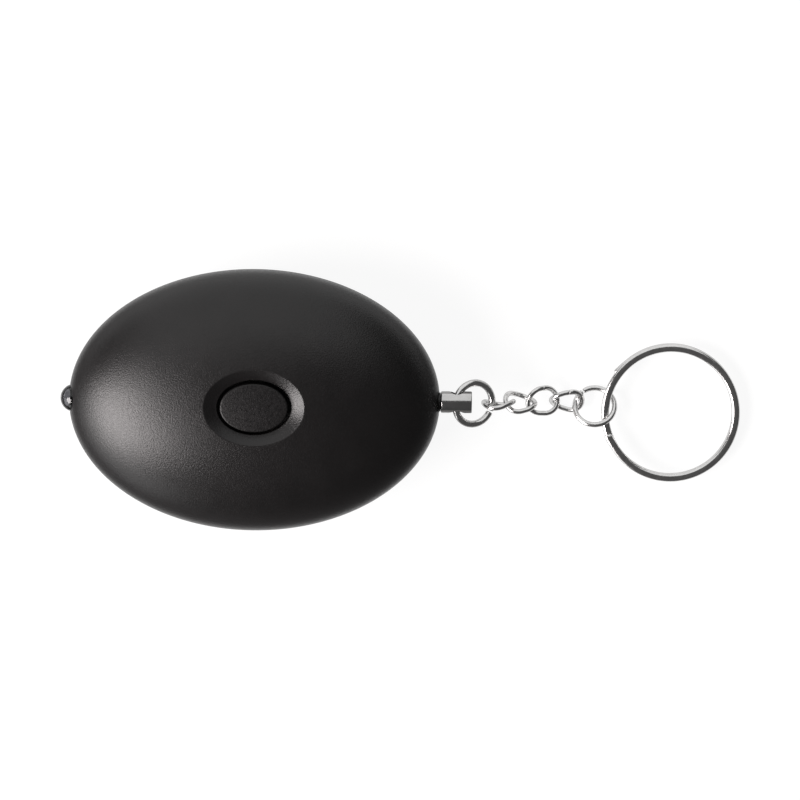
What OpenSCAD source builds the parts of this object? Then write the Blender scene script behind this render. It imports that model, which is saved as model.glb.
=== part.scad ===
// Personal safety alarm: two moulded egg shells, a light button, a pull pin that arms the siren,
// and a curb chain with a split key ring. Millimetres, back face on z = 0, chain towards +X.

/* [Case] */
// length of the egg body
body_l = 66.2; // [62:0.1:72]
// width of the egg body
body_w = 46.9; // [44:0.1:52]
// half height of the egg, from the seam to the crown
dome_h = 12.5; // [12.5:0.1:14]
// how much of the rear dome is cut away for the flat back
base_cut = 1; // [0.7:0.1:1.3]
// moulded wall
wall = 1.8; // [1.6:0.1:2]
// height of the tongue on the rear shell
tongue_h = 1.2; // [0.8:0.1:1.6]
// width and depth of the groove along the seam
seam_groove = 0.25; // [0.15:0.05:0.35]

/* [Button] */
// long axis of the button cap
button_l = 12.1; // [10:0.1:13]
// short axis of the button cap
button_w = 8.65; // [7.4:0.05:9.4]
// gap round the button cap
button_gap = 0.57; // [0.4:0.01:0.7]
// width of the sloping dish beyond the hole
dish_w = 2.3; // [1.8:0.1:2.6]
// depth of the dish below the crown
dish_d = 1.5; // [1.3:0.1:2.2]
// how far the top of the button stays below the crown
button_sink = 0.25; // [0.1:0.05:0.6]
// crown of the button's face
button_crown = 0.3; // [0.2:0.05:0.5]
// travel of the button
button_travel = 0.5; // [0.3:0.05:0.6]

/* [Lamp] */
// diameter of the lamp
lamp_d = 5; // [4.6:0.1:5.2]
// how far the lamp's dome stands out of the shell
lamp_proud = 1.5; // [1.2:0.1:2]

/* [Pull pin] */
// diameter of the pin's head
pin_head_d = 3.9; // [3.4:0.1:4.2]
// length of the pin's head
pin_head_l = 5.5; // [5.2:0.1:6.5]
// gap under the head's shoulder
pin_shoulder = 0.2; // [0.15:0.05:0.6]
// diameter of the pin's shank
pin_shank_d = 2.5; // [2.2:0.1:2.7]
// length of shank inside the shell
pin_in = 12.5; // [12.2:0.1:12.9]

/* [Chain] */
// outer diameter of the jump ring on the pin
ring_a_d = 8.75; // [8.6:0.05:9.2]
// wire of the jump ring on the pin
ring_a_wire = 1.25; // [1:0.05:1.3]
// outer length of a chain link
link_l = 6.4; // [6.2:0.05:6.7]
// outer width of a chain link
link_w = 5.55; // [5.2:0.05:5.8]
// wire of the chain links
link_wire = 0.9; // [0.8:0.05:0.95]
// twist of a link from tip to tip
link_twist = 38; // [30:1:45]
// outer diameter of the jump ring at the key ring
ring_b_d = 8.05; // [7.9:0.05:8.4]
// wire of the jump ring at the key ring
ring_b_wire = 0.95; // [0.9:0.05:1]
// opening between the ends of a jump ring
ring_open = 0.5; // [0.3:0.05:0.7]

/* [Key ring] */
// outer diameter of the split ring
key_d = 24.8; // [24:0.1:32]
// radial width of its flat wire
key_wire_w = 1.4; // [1.2:0.05:1.6]
// thickness of its flat wire
key_wire_t = 0.9; // [0.8:0.05:0.95]
// open height between its coils
key_coil_gap = 0.45; // [0.42:0.01:0.5]

/* [Power and sound] */
// diameter of a button cell
cell_d = 11.6; // [11.2:0.1:11.6]
// thickness of a button cell
cell_t = 5.4; // [5:0.1:5.4]
// diameter of the sounder plate
sounder_d = 23; // [21:0.5:23]
// diameter of a sound hole
sound_hole_d = 1.5; // [1:0.1:1.8]

/* [Screws] */
// thread diameter of the case screws
case_screw_d = 2.2; // [2:0.1:2.4]
// thread diameter of the board screws
board_screw_d = 1.7; // [1.5:0.1:1.9]

/* [Hidden] */

// fits
slide_fit = 0.07;
loose_fit = 0.1;
seat_fit = 0.05;
thread_fit = 0.02;
over = 1;
big = 200;

// egg
half_l = body_l / 2;
half_w = body_w / 2;
seam_z = dome_h - base_cut;
crown_z = seam_z + dome_h;
in_l = half_l - wall;
in_w = half_w - wall;
in_h = dome_h - wall;
floor_z = wall;
tongue_t = wall / 2 - loose_fit;

// button
cap_a = button_l / 2;
cap_b = button_w / 2;
hole_a = cap_a + button_gap;
hole_b = cap_b + button_gap;
dish_z = crown_z - dish_d;
dish_ledge = 0.15;
dish_a = hole_a + dish_ledge + dish_w;
dish_rim_z = seam_z + dome_h * sqrt(1 - dish_a * dish_a / half_l / half_l);
dish_slope = dish_w / (dish_rim_z - dish_z);
dish_ratio = (hole_b + dish_ledge) / (hole_a + dish_ledge);
collar_t = 1.1;
collar_z = crown_z - 4.4;
flange_t = 0.8;
flange_out = button_gap + 0.75;
flange_top = collar_z - seat_fit;
flange_z = flange_top - flange_t;
button_top = crown_z - button_sink;
cap_edge = 0.5;
cap_edge_run = 0.6;
cap_face_deep = 8;

// board
board_t = 1;
board_drop = 9.8;
board_z = crown_z - board_drop;
board_top = board_z + board_t;
board_x0 = -half_l + 21.5;
board_x1 = half_l - 5.5;
board_y = 10.5;
board_y1 = 7;
board_cut = 2;
board_bend = half_l - 20.5;
board_boss = [half_l - 20, 7.8];
board_boss_r = 2.2;
board_post = [board_x0 + 3.5, 8.6];
board_post_r = 1.3;
board_head_r = 1.7;
board_head_h = 1.3;
board_screw_in = 3.4;
board_pilot = 4;

// switch
switch_w = 6;
switch_h = 2.5;
switch_floor = 0.8;
plunger_r = 1.6;
plunger_top = board_top + switch_h + 0.6;
plunger_z = board_top + switch_floor + button_travel + loose_fit;

// lamp
lamp_r = lamp_d / 2;
lamp_dome_x = -half_l - lamp_proud + lamp_r;
lamp_len = 5.1;
lamp_flange_r = lamp_r + 0.4;
lamp_flange_t = 1;
lamp_back_x = lamp_dome_x + lamp_len + lamp_flange_t;
lamp_hole_r = lamp_r + loose_fit;
leg_w = 0.5;
leg_y = 1.27;
leg_x0 = lamp_back_x + 1;
leg_x1 = board_x0 + 1.2;
lamp_rib_x = lamp_dome_x + 3;
lamp_rib_t = 1.4;
lamp_rib_w = 7.2;

// cells
cell_r = cell_d / 2;
cell_x = board_x0 - 5.2;
cell_z = seam_z - 2;
cell_n = 3;
cell_cap = 0.6;
cell_cap_in = 1.4;
cell_half = cell_n * cell_t / 2;
leg_z = max(cell_z + cell_r, board_top) + 1;
rib_t = 1.2;
rib_top = cell_z - 1.2;
cradle_half = 4;
cradle_out = 0.4;
hold_half = 2;
hold_y = 5;
sheet_t = 0.3;
plate_y = cell_half + seat_fit;
plate_half = 3.5;
plate_low = rib_top - 2;
spring_room = 1.15;
leaf_y = -cell_half - spring_room;
tab_w = spring_room + sheet_t - 0.15;
tab_x = cell_x + 2.5;
tab_in = 1.8;
spring_half = 2;
spring_top = 3.6;
spring_root = 0.8;
spring_flat = 0.7;
spring_low = 2.2;
spring_lift = 0.4;
spring_t = 0.25;

// sounder
sounder_r = sounder_d / 2;
seat_z = floor_z + 1.7;
seat_w = 1.3;
ceramic_r = sounder_r - 3.5;
sounder_t = 0.25;
sound_hole_pitch = 3.1;
cradle_x1 = -sounder_r - 0.7;

// case screws
boss_x = 0.585 * half_l;
bay_gap = 0.25;
front_boss_r = 2.3;
rear_boss_r = 3;
boss_y = -leaf_y + sheet_t + bay_gap + rear_boss_r;
screw_head_r = 1.9;
screw_head_h = 1.5;
screw_seat_z = seam_z - 5.3;
screw_tip_z = seam_z + 3;
pilot_deep = 0.6;

// pin and socket
shank_r = pin_shank_d / 2;
head_r = pin_head_d / 2;
shank_x0 = half_l - pin_in;
head_x0 = half_l + pin_shoulder;
pin_nose_l = 0.9;
pin_nose_r = shank_r / 2;
ring_a_r = (ring_a_d - ring_a_wire) / 2;
ring_a_sag = ring_a_r - sqrt(ring_a_r * ring_a_r - head_r * head_r);
ring_a_set = ring_a_sag / 2;
ring_a_yaw = 8;
pin_hole_r = ring_a_wire / 2 + ring_a_sag / 2 + head_r * sin(ring_a_yaw) + 0.12;
pin_hole_x = head_x0 + pin_head_l / 2 + 0.1;
head_edge = 0.25;
socket_x0 = half_l - 16.3;
socket_x1 = half_l - 3.6;
socket_y = 3.2;
socket_z = seam_z - 2.9;
room_x0 = socket_x0 + 0.8;
room_x1 = socket_x0 + 5.6;
room_y = 1.4;
room_z0 = seam_z - 2;
room_z1 = seam_z + 0.9;
leaf_t = 0.2;
leaf_half = 1;
leaf_root_r = 0.3;
leaf_root_x = room_x0 + leaf_root_r + seat_fit;
leaf_tip_x = shank_x0 + 1.2;
leaf_top = seam_z - shank_r - 0.08;
contact_z = leaf_top + 0.35;
contact_x0 = leaf_root_x + 0.45;
contact_x1 = shank_x0 - 0.5;
contact_t = 0.25;
contact_tab = 0.4;
contact_tab_x = contact_x0 + 0.45;
contact_half = 0.9;
contact_tab_half = 0.6;
contact_proud = 0.4;
socket_rib_x = socket_x0 + 6;
socket_rib_w = 4.8;

// coil
coil_at = [1.5, -5];
coil_r = 4;
coil_core_r = 1.6;
coil_wire_r = 3.4;
coil_disc = 1.2;
coil_h = 6.5;

// small parts on the rear face of the board
chip_l = 4.9;
chip_w = 3.9;
chip_h = 1.4;
chip_x1 = board_boss[0] - 3.5;
chip_x0 = chip_x1 - chip_l;
chip_y = 5.15;
chip_pitch = 1.27;
chip_leg = [0.4, 1.2, 0.7];
chip_leg_y = 2.3;
power_l = 4.5;
power_w = 2.5;
power_h = 1.5;
power_x1 = socket_x0 - 1.2;
power_y = -2.35;
small_l = 2;
small_w = 1.2;
small_h = 0.6;
small_share = [0.331, 0.331, 0.563, 0.762];
small_y = [3, 6, 8, 4];
lead_gap = 1;
lead_x = coil_at[0] + coil_r + lead_gap;
lead_y = 1.2;
lead_apart = 1.8;

// chain: grip is the distance between the wire centres of two pieces that hold each other
chain_play = 0.16;
link_c = link_l - link_wire;
link_r = (link_w - link_wire) / 2;
link_side = link_c - 2 * link_r;
grip_a = (ring_a_wire + link_wire) / 2 + chain_play;
grip_l = link_wire + chain_play;
grip_b = (ring_b_wire + link_wire) / 2 + chain_play;
ring_b_r = (ring_b_d - ring_b_wire) / 2;
ring_b_out = 27;
ring_a_mouth = -27;
ring_b_mouth = 148;

// how each piece of the chain lies: pitch down, yaw, roll
lie_a = [30, -ring_a_yaw, 0];
lie_1 = [34, 2, -90.5];
lie_2 = [25.5, 1, -56.5];
lie_3 = [16.5, 2, 8.5];
lie_4 = [7.5, -4.5, 44];
lie_b = [-11.5, -18.5, -27];
lie_k = [3.5, -7.5, -0.5];

// split ring
key_r = key_d / 2 - key_wire_w / 2;
key_in = key_d / 2 - key_wire_w;
key_step = key_wire_t + key_coil_gap;
key_play = 0.88;
key_drop = 0.2;
key_cross0 = 152;
key_cross1 = 207;
key_rings = 92;

function spun(v, lie) = let (
  r = lie[2], p = lie[0], w = lie[1],
  a = [v[0], v[1] * cos(r) - v[2] * sin(r), v[1] * sin(r) + v[2] * cos(r)],
  b = [a[0] * cos(p) + a[2] * sin(p), a[1], -a[0] * sin(p) + a[2] * cos(p)])
  [b[0] * cos(w) - b[1] * sin(w), b[0] * sin(w) + b[1] * cos(w), b[2]];

// points where the pieces of the chain hold each other, at the centre of the holding wire
at_a = [pin_hole_x, 0, seam_z];
at_1 = at_a + spun([2 * ring_a_r - ring_a_set, 0, 0], lie_a);
at_2 = at_1 + spun([link_c - grip_a, 0, 0], lie_1);
at_3 = at_2 + spun([link_c - grip_l, 0, 0], lie_2);
at_4 = at_3 + spun([link_c - grip_l, 0, 0], lie_3);
at_b = at_4 + spun([link_c - grip_l, 0, 0], lie_4);
mid_b = at_b + spun([ring_b_r - grip_b, 0, 0], lie_b);
at_k = mid_b + spun([ring_b_r * cos(ring_b_out), ring_b_r * sin(ring_b_out), 0], lie_b);
mid_k = at_k + spun([key_in - key_play, 0, -key_drop], lie_k);

// line of the holding wire at each of those points
tip = [0, cos(-link_twist / 2), sin(-link_twist / 2)];
echo(pin_ring = at_a, axis = [0, 1, 0]);
echo(chain_link_1 = at_1, axis = spun([0, 1, 0], lie_a));
echo(chain_link_2 = at_2, axis = spun(tip, lie_1));
echo(chain_link_3 = at_3, axis = spun(tip, lie_2));
echo(chain_link_4 = at_4, axis = spun(tip, lie_3));
echo(end_ring = at_b, axis = spun(tip, lie_4));
echo(split_key_ring = at_k, axis = spun([-sin(ring_b_out), cos(ring_b_out), 0], lie_b));
echo(key_middle = mid_k, contact_leaf = [leaf_root_x, 0, leaf_top - leaf_t / 2]);

function unit(v) = v / norm(v);

// closed tube of round wire along a twisted oval
function oval(t) = let (q = PI * link_r / 2, s = link_side, r = link_r, d = 180 / PI)
  t < q ? [s / 2 + r * cos(t / r * d), r * sin(t / r * d)] :
  t < q + s ? [s / 2 - (t - q), r] :
  t < 3 * q + s ? let (a = 90 + (t - q - s) / r * d) [-s / 2 + r * cos(a), r * sin(a)] :
  t < 3 * q + 2 * s ? [-s / 2 + (t - 3 * q - s), -r] :
  let (a = 270 + (t - 3 * q - 2 * s) / r * d) [s / 2 + r * cos(a), r * sin(a)];
function twisted(p) = let (w = -link_twist * p[0] / link_c) [p[0], p[1] * cos(w), p[1] * sin(w)];
link_rings = 40;
link_sides = 8;
link_round = 2 * PI * link_r + 2 * link_side;
function link_at(i) = twisted(oval((i + link_rings) % link_rings * link_round / link_rings));
function link_up(i) = let (w = -link_twist * link_at(i)[0] / link_c) [0, -sin(w), cos(w)];

module twisted_link() {
  pts = [for (i = [0:link_rings - 1])
    let (c = link_at(i), t = unit(link_at(i + 1) - link_at(i - 1)))
    let (n = unit(cross(link_up(i), t)))
    let (b = cross(t, n))
    for (k = [0:link_sides - 1])
      c + link_wire / 2 * (cos(k * 360 / link_sides) * n + sin(k * 360 / link_sides) * b)];
  faces = [for (i = [0:link_rings - 1])
    for (k = [0:link_sides - 1])
      let (j = (i + 1) % link_rings, m = (k + 1) % link_sides)
      let (a = i * link_sides, b = j * link_sides)
      for (f = [[a + m, a + k, b + k], [a + m, b + k, b + m]]) f];
  polyhedron(points = pts, faces = faces);
}

// open tube through rings of points, with flat ends
module tube_through(rings) {
  n = len(rings);
  s = len(rings[0]);
  side = [for (i = [0:n - 2])
    for (k = [0:s - 1])
      [i * s + (k + 1) % s, i * s + k, (i + 1) * s + k, (i + 1) * s + (k + 1) % s]];
  first = [for (k = [0:s - 1]) k];
  last = [for (k = [s - 1:-1:0]) (n - 1) * s + k];
  polyhedron(points = [for (r = rings) for (p = r) p], faces = concat(side, [first], [last]));
}

// split ring: the upper coil runs round, crosses down on the chain side and goes on as the lower coil
key_a0 = key_cross1 - 360;
key_a1 = key_cross0 + 360;
function key_angle(i) = key_a0 + (key_a1 - key_a0) * i / (key_rings - 1);
function key_part(a) = min(1, max(0, (a - key_cross0) / (key_cross1 - key_cross0)));
function key_fall(a) = let (t = key_part(a)) t * t * (3 - 2 * t);
function key_z(a) = key_step * (1 - key_fall(a));
key_edge = 0.3;
key_section = let (w = key_wire_w / 2, t = key_wire_t / 2, e = key_edge)
  [[w, -t + e], [w, t - e], [w - e, t], [-w + e, t], [-w, t - e], [-w, -t + e], [-w + e, -t], [w - e, -t]];
key_least_gap = min([for (a = [key_a0:2:key_a1 - 360]) key_z(a) - key_z(a + 360) - key_wire_t]);
echo(split_ring_least_gap = key_least_gap);

module split_coil() {
  rings = [for (i = [0:key_rings - 1])
    let (a = key_angle(i))
    [for (q = key_section) [(key_r + q[0]) * cos(a), (key_r + q[0]) * sin(a), key_z(a) + q[1]]]];
  tube_through(rings);
}

// soft lead that leaves one pad straight down and lands straight on the other
lead_r = 0.4;
lead_pull = 4;
module lead(p, q) {
  c1 = p - [0, 0, lead_pull];
  c2 = q + [0, 0, lead_pull];
  rings = [for (i = [0:14])
    let (t = i / 14, u = 1 - t)
    let (c = u * u * u * p + 3 * u * u * t * c1 + 3 * u * t * t * c2 + t * t * t * q)
    let (d = unit(u * u * (c1 - p) + 2 * u * t * (c2 - c1) + t * t * (q - c2)))
    let (n = unit(cross([0, 1, 0], d)))
    let (b = cross(d, n))
    [for (k = [0:7]) c + lead_r * (cos(-k * 45) * n + sin(-k * 45) * b)]];
  tube_through(rings);
}

module egg(l, w, h) {
  translate([0, 0, seam_z]) scale([l, w, h]) sphere(r = 1, $fn = 96);
}

module oval_post(l, w, z0, z1) {
  translate([0, 0, z0]) scale([l, w, 1]) cylinder(r = 1, h = z1 - z0, $fn = 96);
}

module above(z) {
  translate([-big / 2, -big / 2, z]) cube([big, big, big]);
}

module below(z) {
  translate([-big / 2, -big / 2, z - big]) cube([big, big, big]);
}

module bar(x0, x1, y0, y1, z0, z1) {
  translate([x0, y0, z0]) cube([x1 - x0, y1 - y0, z1 - z0]);
}

module post(x, y, z0, z1, r) {
  translate([x, y, z0]) cylinder(r = r, h = z1 - z0, $fn = 40);
}

module along_x(x0, x1, z, r) {
  translate([x0, 0, z]) rotate([0, 90, 0]) cylinder(r = r, h = x1 - x0, $fn = 48);
}

module along_y(x, y0, y1, z, r) {
  translate([x, y1, z]) rotate([90, 0, 0]) cylinder(r = r, h = y1 - y0, $fn = 64);
}

module four_corners() {
  for (x = [-boss_x, boss_x])
    for (y = [-boss_y, boss_y])
      translate([x, y, 0]) children();
}

// groove that marks the seam all round
module seam_line() {
  translate([0, 0, seam_z])
    scale([half_l, half_w, 1])
      rotate_extrude($fn = 96)
        polygon([[1 - seam_groove / half_w, 0], [1 + seam_groove / half_w, seam_groove * 2],
          [1 + seam_groove / half_w, -seam_groove * 2]]);
}

module shell_holes() {
  along_x(-half_l - over, -half_l + wall + tongue_t + 3, seam_z, lamp_hole_r);
  along_x(half_l - wall - tongue_t - over, half_l + over, seam_z, shank_r + slide_fit);
}

module dish_cut() {
  rise = dish_d + over;
  translate([0, 0, dish_z])
    scale([1, dish_ratio, 1])
      cylinder(r1 = hole_a + dish_ledge, r2 = hole_a + dish_ledge + dish_slope * rise, h = rise, $fn = 96);
}

module front_shell() color("#2a2829") {
  difference() {
    union() {
      difference() {
        egg(half_l, half_w, dome_h);
        egg(in_l, in_w, in_h);
        below(seam_z);
      }
      intersection() {
        egg(half_l - wall / 2, half_w - wall / 2, dome_h - wall / 2);
        above(seam_z);
        union() {
          oval_post(hole_a + collar_t, hole_b + collar_t, collar_z, crown_z);
          oval_post(hole_a + dish_w + collar_t, hole_b + dish_w + collar_t, dish_z - wall, crown_z);
          four_corners() post(0, 0, seam_z, crown_z, front_boss_r);
          for (s = [-1, 1]) {
            post(board_boss[0], s * board_boss[1], board_top, crown_z, board_boss_r);
            post(board_post[0], s * board_post[1], board_top, crown_z, board_post_r);
            bar(cell_x - hold_half, cell_x + hold_half, s * hold_y - rib_t / 2, s * hold_y + rib_t / 2,
              cell_z + cell_r + loose_fit, crown_z);
          }
        }
      }
    }
    oval_post(half_l - wall / 2, half_w - wall / 2, seam_z - over, seam_z + tongue_h + loose_fit);
    oval_post(hole_a, hole_b, seam_z, crown_z + over);
    dish_cut();
    seam_line();
    shell_holes();
    four_corners() post(0, 0, seam_z - over, screw_tip_z + pilot_deep, case_screw_d / 2 + thread_fit);
    for (s = [-1, 1])
      post(board_boss[0], s * board_boss[1], board_top - over, board_top + board_pilot,
        board_screw_d / 2 + thread_fit);
  }
}

module sound_holes() {
  for (k = [0:5])
    rotate(k * 60) post(sound_hole_pitch, 0, -over, floor_z + over, sound_hole_d / 2);
  for (k = [0:11])
    rotate(k * 30 + 15) post(2 * sound_hole_pitch, 0, -over, floor_z + over, sound_hole_d / 2);
}

module rear_shell() color("#2a2829") {
  difference() {
    union() {
      difference() {
        egg(half_l, half_w, dome_h);
        difference() {
          egg(in_l, in_w, in_h);
          below(floor_z);
        }
        above(seam_z);
        below(0);
      }
      difference() {
        oval_post(in_l + tongue_t, in_w + tongue_t, seam_z - over, seam_z + tongue_h);
        oval_post(in_l, in_w, seam_z - 2 * over, seam_z + tongue_h + over);
      }
      intersection() {
        egg(half_l - wall / 2, half_w - wall / 2, dome_h - wall / 2);
        below(seam_z - seat_fit);
        above(floor_z - wall / 2);
        union() {
          four_corners() post(0, 0, 0, seam_z, rear_boss_r);
          difference() {
            post(0, 0, 0, seat_z, sounder_r + seat_fit);
            post(0, 0, -over, seat_z + over, sounder_r - seat_w);
          }
          difference() {
            union() {
              for (y = [-cell_t, 0, cell_t])
                bar(cell_x - cell_r - cradle_out, cradle_x1, y - rib_t / 2, y + rib_t / 2, 0, rib_top);
              for (y = [plate_y + sheet_t, leaf_y - sheet_t - rib_t])
                bar(cell_x - cradle_half, cell_x + cradle_half, y, y + rib_t, 0, rib_top);
            }
            along_y(cell_x, -cell_half - seat_fit, cell_half + seat_fit, cell_z, cell_r + loose_fit);
          }
          bar(lamp_rib_x, lamp_rib_x + lamp_rib_t, -lamp_rib_w / 2, lamp_rib_w / 2, 0, seam_z);
          bar(socket_rib_x, socket_rib_x + rib_t, -socket_rib_w / 2, socket_rib_w / 2, 0, socket_z);
        }
      }
    }
    seam_line();
    shell_holes();
    along_x(lamp_dome_x - over, lamp_dome_x + lamp_len, seam_z, lamp_hole_r);
    sound_holes();
    four_corners() {
      post(0, 0, -over, screw_seat_z, screw_head_r + loose_fit);
      post(0, 0, -over, seam_z + over, case_screw_d / 2 + loose_fit);
    }
  }
}

module cross_head_screw(r, head_r, head_h, seat, tip_z) {
  difference() {
    union() {
      post(0, 0, seat - head_h, seat, head_r);
      post(0, 0, seat - loose_fit, tip_z - r, r);
      translate([0, 0, tip_z - r]) cylinder(r1 = r, r2 = r / 4, h = r, $fn = 40);
    }
    bar(-head_r * 0.6, head_r * 0.6, -head_r / 8, head_r / 8, seat - head_h - over, seat - head_h / 2);
    bar(-head_r / 8, head_r / 8, -head_r * 0.6, head_r * 0.6, seat - head_h - over, seat - head_h / 2);
  }
}

module case_screws() color("silver") {
  four_corners() cross_head_screw(case_screw_d / 2, screw_head_r, screw_head_h, screw_seat_z, screw_tip_z);
}

module board_screws() color("silver") {
  for (s = [-1, 1])
    translate([board_boss[0], s * board_boss[1], 0])
      cross_head_screw(board_screw_d / 2, board_head_r, board_head_h, board_z, board_top + board_screw_in);
}

module light_button() color("#1c1b1c") {
  cap_rise = button_top - button_crown;
  intersection() {
    union() {
      oval_post(cap_a, cap_b, flange_top - loose_fit, button_top);
      oval_post(cap_a + flange_out, cap_b + flange_out, flange_z, flange_top);
      post(0, 0, plunger_top + seat_fit, flange_z + loose_fit, plunger_r);
    }
    union() {
      below(flange_top + over);
      intersection() {
        above(flange_top);
        translate([0, 0, cap_rise - cap_face_deep])
          scale([cap_a * 2.2, cap_b * 2.2, cap_face_deep + button_crown]) sphere(r = 1, $fn = 96);
      }
    }
    union() {
      below(cap_rise - cap_edge - cap_edge_run + loose_fit);
      translate([0, 0, cap_rise - cap_edge - cap_edge_run])
        scale([1, cap_b / cap_a, 1])
          cylinder(r1 = cap_a + cap_edge_run, r2 = cap_a - cap_edge,
            h = cap_edge + button_crown + cap_edge_run + loose_fit, $fn = 96);
    }
  }
}

module switch_body() color("#303030") {
  difference() {
    bar(-switch_w / 2, switch_w / 2, -switch_w / 2, switch_w / 2, board_top, board_top + switch_h);
    post(0, 0, board_top + switch_floor, board_top + switch_h + over, plunger_r + seat_fit);
  }
}

module switch_plunger() color("#d8d8d0") {
  post(0, 0, plunger_z, plunger_top, plunger_r);
}

module lamp() color("#2b2a2e") {
  translate([lamp_dome_x, 0, seam_z]) sphere(r = lamp_r, $fn = 64);
  along_x(lamp_dome_x, lamp_back_x, seam_z, lamp_r);
  along_x(lamp_dome_x + lamp_len, lamp_back_x, seam_z, lamp_flange_r);
}

module lamp_legs() color("silver") {
  for (s = [-1, 1]) {
    y0 = s * leg_y - leg_w / 2;
    y1 = s * leg_y + leg_w / 2;
    bar(lamp_back_x, leg_x0 + leg_w, y0, y1, seam_z - leg_w / 2, seam_z + leg_w / 2);
    bar(leg_x0, leg_x0 + leg_w, y0, y1, seam_z - leg_w / 2, leg_z + leg_w);
    bar(leg_x0, leg_x1 + leg_w / 2, y0, y1, leg_z, leg_z + leg_w);
    bar(leg_x1 - leg_w / 2, leg_x1 + leg_w / 2, y0, y1, board_z - leg_w, leg_z + leg_w);
  }
}

module contact_slot(z0, z1) {
  slot = contact_tab_half + loose_fit;
  bar(contact_tab_x - loose_fit, contact_tab_x + contact_tab + loose_fit, -slot, slot, z0, z1);
}

module circuit_board() color("#2c6b3f") {
  difference() {
    translate([0, 0, board_z])
      linear_extrude(height = board_t)
        polygon([[board_x0, -board_y + board_cut], [board_x0 + board_cut, -board_y], [board_bend, -board_y],
          [board_x1, -board_y1], [board_x1, board_y1], [board_bend, board_y],
          [board_x0 + board_cut, board_y], [board_x0, board_y - board_cut]]);
    for (s = [-1, 1]) {
      post(board_boss[0], s * board_boss[1], board_z - over, board_top + over, board_screw_d / 2 + loose_fit);
      post(leg_x1, s * leg_y, board_z - over, board_top + over, leg_w / 2 * sqrt(2) + seat_fit);
    }
    contact_slot(board_z - over, board_top + over);
  }
}

module driver_chip() color("#202020") {
  bar(chip_x0, chip_x1, chip_y - chip_w / 2, chip_y + chip_w / 2, board_z - chip_h - loose_fit,
    board_z - loose_fit);
  for (k = [-1.5:1.5])
    for (s = [-1, 1])
      translate([chip_x1 - chip_l / 2 + k * chip_pitch, chip_y + s * chip_leg_y, board_z - chip_leg[2] / 2])
        cube(chip_leg, center = true);
}

module drive_transistor() color("#202020") {
  bar(power_x1 - power_l, power_x1, power_y - power_w / 2, power_y + power_w / 2, board_z - power_h, board_z);
}

module coil_core() color("#3a3a3c") {
  post(coil_at[0], coil_at[1], board_z - coil_disc, board_z, coil_r);
  post(coil_at[0], coil_at[1], board_z - coil_h, board_z - coil_h + coil_disc, coil_r);
  post(coil_at[0], coil_at[1], board_z - coil_h, board_z, coil_core_r);
}

module coil_winding() color("#b5651d") {
  difference() {
    post(coil_at[0], coil_at[1], board_z - coil_h + coil_disc, board_z - coil_disc, coil_wire_r);
    post(coil_at[0], coil_at[1], board_z - coil_h, board_z, coil_core_r);
  }
}

module chip_parts() color("#c8b58a") {
  for (k = [0:len(small_y) - 1])
    translate([board_x0 + small_share[k] * (chip_x0 - board_x0), small_y[k], board_z - small_h / 2])
      cube([small_l, small_w, small_h], center = true);
}

module button_cell(k) {
  y0 = -cell_half + k * cell_t;
  along_y(cell_x, y0, y0 + cell_cap, cell_z, cell_r - cell_cap_in);
  along_y(cell_x, y0 + cell_cap, y0 + cell_t, cell_z, cell_r);
}

module battery_cell_1() color("#c9ccd0") {
  button_cell(0);
}

module battery_cell_2() color("#c9ccd0") {
  button_cell(1);
}

module battery_cell_3() color("#c9ccd0") {
  button_cell(2);
}

module battery_plate() color("#d9dbdf") {
  bar(cell_x - plate_half, cell_x + plate_half, plate_y, plate_y + sheet_t, plate_low, board_top + sheet_t);
  bar(tab_x, board_x0 + tab_in, plate_y, plate_y + tab_w, board_top, board_top + sheet_t);
}

module battery_leaf() color("#d9dbdf") {
  near = -cell_half - seat_fit;
  bar(cell_x - plate_half, cell_x + plate_half, leaf_y - sheet_t, leaf_y, plate_low, board_top + sheet_t);
  bar(tab_x, board_x0 + tab_in, leaf_y - sheet_t, leaf_y - sheet_t + tab_w, board_top, board_top + sheet_t);
  translate([cell_x - spring_half, 0, cell_z])
    rotate([90, 0, 90])
      linear_extrude(height = 2 * spring_half)
        polygon([[leaf_y - seat_fit, spring_top], [near, spring_flat], [near, -spring_flat],
          [leaf_y + spring_lift, -spring_low], [leaf_y + spring_lift / 2, -spring_low + loose_fit],
          [near - spring_t, -spring_flat + seat_fit], [near - spring_t, spring_flat - seat_fit],
          [leaf_y - seat_fit, spring_top - spring_root]]);
}

module sounder_plate() color("#b08d46") {
  post(0, 0, seat_z, seat_z + sounder_t, sounder_r);
}

module sounder_ceramic() color("#e8e6dc") {
  post(0, 0, seat_z + sounder_t, seat_z + 2 * sounder_t, ceramic_r);
}

module sounder_lead_a() color("#b02020") {
  lead([lead_x, lead_y, board_z], [0.625 * ceramic_r, lead_y, seat_z + 2 * sounder_t]);
}

module sounder_lead_b() color("#181818") {
  y = lead_y - lead_apart;
  lead([lead_x, y, board_z], [ceramic_r + lead_gap, y, seat_z + sounder_t]);
}

module pin_socket() color("#3b3b3d") {
  difference() {
    bar(socket_x0, socket_x1, -socket_y, socket_y, socket_z, board_z);
    along_x(room_x0 + loose_fit, socket_x1 + over, seam_z, shank_r + slide_fit);
    bar(room_x0, room_x1, -room_y, room_y, room_z0, room_z1);
    contact_slot(room_z0, board_z + over);
  }
}

module fixed_contact() color("#c9a24a") {
  bar(contact_x0, contact_x1, -contact_half, contact_half, contact_z, contact_z + contact_t);
  bar(contact_tab_x, contact_tab_x + contact_tab, -contact_tab_half, contact_tab_half, contact_z,
    board_top + contact_proud);
}

module contact_leaf() color("#c9a24a") {
  bar(leaf_root_x, leaf_tip_x, -leaf_half, leaf_half, leaf_top - leaf_t, leaf_top);
  along_y(leaf_root_x, -leaf_half, leaf_half, leaf_top - leaf_t / 2, leaf_root_r);
}

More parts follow.
